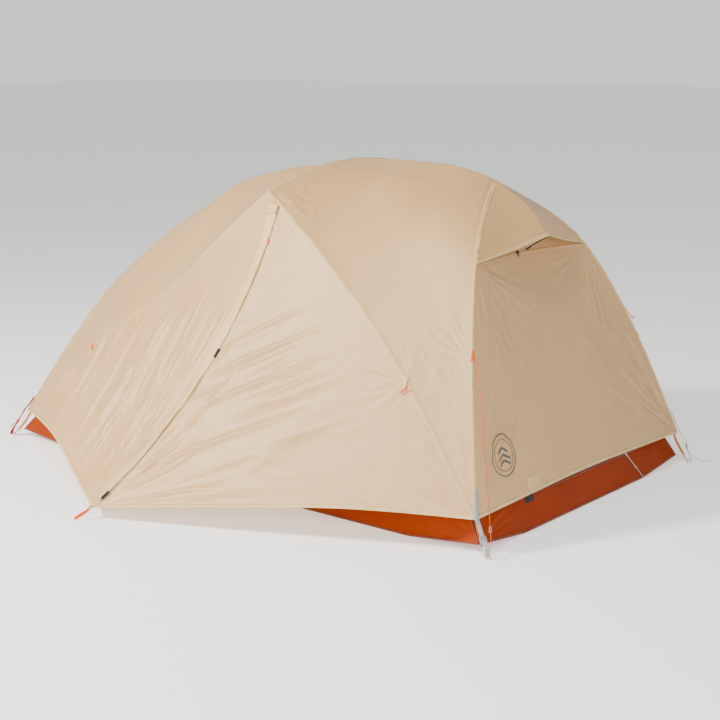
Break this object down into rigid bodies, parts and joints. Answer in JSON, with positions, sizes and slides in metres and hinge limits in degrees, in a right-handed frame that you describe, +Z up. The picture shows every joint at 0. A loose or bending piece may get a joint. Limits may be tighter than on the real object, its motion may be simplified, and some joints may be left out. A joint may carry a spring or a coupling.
{
  "type": "tent on poles",
  "caption": "Pitched two-door backpacking tent: hubbed pole frame, inner tent with a tub floor, and a rain fly with a vestibule on each side and a propped vent.",
  "frame": {"origin": "on the ground under the middle of the floor, at the foot of the object's box", "axes": "+X towards the head end, +Y towards the back side, +Z up"},
  "size_m": [2.4272, 2.3654, 1.1422],
  "materials": {
    "fly_fabric": "thin coated ripstop nylon, matt with a soft sheen",
    "floor_fabric": "coated nylon, matt",
    "inner_fabric": "light mesh and breathable nylon",
    "pole_alloy": "anodised, satin",
    "tip_alloy": "bare, satin",
    "hub_nylon": "moulded nylon",
    "grey_plastic": "moulded acetal",
    "orange_plastic": "moulded acetal",
    "black_webbing": "hook tape over a stiff strip",
    "grey_webbing": "flat woven webbing",
    "red_webbing": "flat woven webbing",
    "orange_webbing": "flat woven webbing",
    "orange_cord": "braided cord",
    "grey_cord": "braided cord"
  },
  "bodies": {
    "tent": {"brow_clip": "hub_nylon", "brow_pole": "pole_alloy", "corner_cord_head_back": "grey_cord", "corner_strap_foot_back": "red_webbing", "corner_strap_foot_front": "red_webbing", "corner_strap_head_back": "grey_webbing", "corner_strap_head_front": "grey_webbing", "fly_roof_foot": "fly_fabric", "fly_roof_head": "fly_fabric", "fly_wall_foot": "fly_fabric", "fly_wall_head": "fly_fabric", "guyline": "orange_cord", "hub_foot": "hub_nylon", "hub_head": "hub_nylon", "inner_roof_foot": "inner_fabric", "inner_roof_head": "inner_fabric", "inner_wall_back": "inner_fabric", "inner_wall_foot": "inner_fabric", "inner_wall_front": "inner_fabric", "inner_wall_head": "inner_fabric", "leg_foot_back": "pole_alloy", "leg_foot_front": "pole_alloy", "leg_head_back": "pole_alloy", "leg_head_front": "pole_alloy", "pole_tip_foot_back": "tip_alloy", "pole_tip_foot_front": "tip_alloy", "pole_tip_head_back": "tip_alloy", "pole_tip_head_front": "tip_alloy", "ridge_pole": "pole_alloy", "tub_floor": "floor_fabric", "tub_wall_back": "floor_fabric", "tub_wall_foot": "floor_fabric", "tub_wall_front": "floor_fabric", "tub_wall_head": "floor_fabric", "vent_visor": "fly_fabric"},
    "door_head_front": {"fly_door_head_front": "fly_fabric", "stake_loop_front": "orange_webbing"},
    "door_foot_front": {"fly_door_foot_front": "fly_fabric", "storm_flap_front": "fly_fabric"},
    "zip_slider_front": {"zip_slider_front": "grey_plastic"},
    "inner_door_front": {"inner_door_front": "inner_fabric"},
    "inner_slider_front": {"inner_slider_front": "grey_plastic"},
    "toggle_head_front": {"door_toggle_head_front": "orange_plastic"},
    "buckle_head_front": {"corner_buckle_head_front": "grey_plastic"},
    "toggle_foot_front": {"door_toggle_foot_front": "orange_plastic"},
    "buckle_foot_front": {"corner_buckle_foot_front": "grey_plastic"},
    "door_head_back": {"fly_door_head_back": "fly_fabric", "stake_loop_back": "orange_webbing"},
    "door_foot_back": {"fly_door_foot_back": "fly_fabric", "storm_flap_back": "fly_fabric"},
    "zip_slider_back": {"zip_slider_back": "grey_plastic"},
    "inner_door_back": {"inner_door_back": "inner_fabric"},
    "inner_slider_back": {"inner_slider_back": "grey_plastic"},
    "toggle_head_back": {"door_toggle_head_back": "orange_plastic"},
    "buckle_head_back": {"corner_buckle_head_back": "grey_plastic"},
    "toggle_foot_back": {"door_toggle_foot_back": "orange_plastic"},
    "buckle_foot_back": {"corner_buckle_foot_back": "grey_plastic"},
    "vent_prop": {"vent_prop": "black_webbing"},
    "guy_tensioner": {"guy_tensioner": "grey_plastic"}
  },
  "joints": [
    {"name": "front_head_door_fold", "type": "hinge", "parent": "tent", "child": "door_head_front", "pos_m": [1.15607, -0.68283, 0.1383], "axis": [-0.7156, 0.1403, 0.6842], "range_deg": [0, 90]},
    {"name": "front_foot_door_fold", "type": "hinge", "parent": "tent", "child": "door_foot_front", "pos_m": [-1.12655, -0.52291, 0.10976], "axis": [-0.8019, -0.0273, -0.5968], "range_deg": [0, 90]},
    {"name": "front_zip_travel", "type": "hinge", "parent": "door_head_front", "child": "zip_slider_front", "pos_m": [-0.58174, -2.21658, 1.62205], "axis": [-0.911, 0.4123, 0], "range_deg": [0, 29.09]},
    {"name": "front_inner_door_swing", "type": "hinge", "parent": "tent", "child": "inner_door_front", "pos_m": [-0.33, -0.54628, 0.15359], "axis": [0, 0.1326, 0.9912], "range_deg": [0, 75]},
    {"name": "front_inner_zip_travel", "type": "slide", "parent": "tent", "child": "inner_slider_front", "axis": [-0.9977, 0.0671, -0.0026], "range_m": [0, 0.7116]},
    {"name": "front_head_toggle_turn", "type": "hinge", "parent": "tent", "child": "toggle_head_front", "pos_m": [0.82599, -0.6387, 0.47021], "axis": [0.1932, -0.9236, 0.3311], "range_deg": [-60, 60]},
    {"name": "front_foot_toggle_turn", "type": "hinge", "parent": "tent", "child": "toggle_foot_front", "pos_m": [-0.71656, -0.53698, 0.41534], "axis": [-0.3039, -0.8372, 0.4546], "range_deg": [-60, 60]},
    {"name": "back_head_door_fold", "type": "hinge", "parent": "tent", "child": "door_head_back", "pos_m": [1.15607, 0.68283, 0.1383], "axis": [0.7156, 0.1403, -0.6842], "range_deg": [0, 90]},
    {"name": "back_foot_door_fold", "type": "hinge", "parent": "tent", "child": "door_foot_back", "pos_m": [-1.12655, 0.52291, 0.10976], "axis": [0.8019, -0.0273, 0.5968], "range_deg": [0, 90]},
    {"name": "back_zip_travel", "type": "hinge", "parent": "door_head_back", "child": "zip_slider_back", "pos_m": [-0.58174, 2.21658, 1.62205], "axis": [0.911, 0.4123, 0], "range_deg": [0, 29.09]},
    {"name": "back_inner_door_swing", "type": "hinge", "parent": "tent", "child": "inner_door_back", "pos_m": [-0.33, 0.54628, 0.15359], "axis": [0, -0.1326, 0.9912], "range_deg": [-75, 0]},
    {"name": "back_inner_zip_travel", "type": "slide", "parent": "tent", "child": "inner_slider_back", "axis": [-0.9977, -0.0671, -0.0026], "range_m": [0, 0.7116]},
    {"name": "back_head_toggle_turn", "type": "hinge", "parent": "tent", "child": "toggle_head_back", "pos_m": [0.82599, 0.6387, 0.47021], "axis": [0.1932, 0.9236, 0.3311], "range_deg": [-60, 60]},
    {"name": "back_foot_toggle_turn", "type": "hinge", "parent": "tent", "child": "toggle_foot_back", "pos_m": [-0.71656, 0.53698, 0.41534], "axis": [-0.3039, 0.8372, 0.4546], "range_deg": [-60, 60]},
    {"name": "vent_prop_fold", "type": "hinge", "parent": "tent", "child": "vent_prop", "pos_m": [0.872, 0, 0.854], "axis": [0, 1, 0], "range_deg": [0, 70]},
    {"name": "guy_tensioner_slide", "type": "slide", "parent": "tent", "child": "guy_tensioner", "axis": [-0.2455, 0.2378, 0.9398], "range_m": [0, 0.03]},
    {"name": "head_front_buckle_slide", "type": "slide", "parent": "tent", "child": "buckle_head_front", "axis": [-0.4193, 0.0928, 0.9031], "range_m": [-0.015, 0.04]},
    {"name": "head_back_buckle_slide", "type": "slide", "parent": "tent", "child": "buckle_head_back", "axis": [-0.4193, -0.0928, 0.9031], "range_m": [-0.015, 0.04]},
    {"name": "foot_front_buckle_slide", "type": "slide", "parent": "tent", "child": "buckle_foot_front", "axis": [0.4769, 0.282, 0.8325], "range_m": [-0.015, 0.04]},
    {"name": "foot_back_buckle_slide", "type": "slide", "parent": "tent", "child": "buckle_foot_back", "axis": [0.4769, -0.282, 0.8325], "range_m": [-0.015, 0.04]}
  ]
}
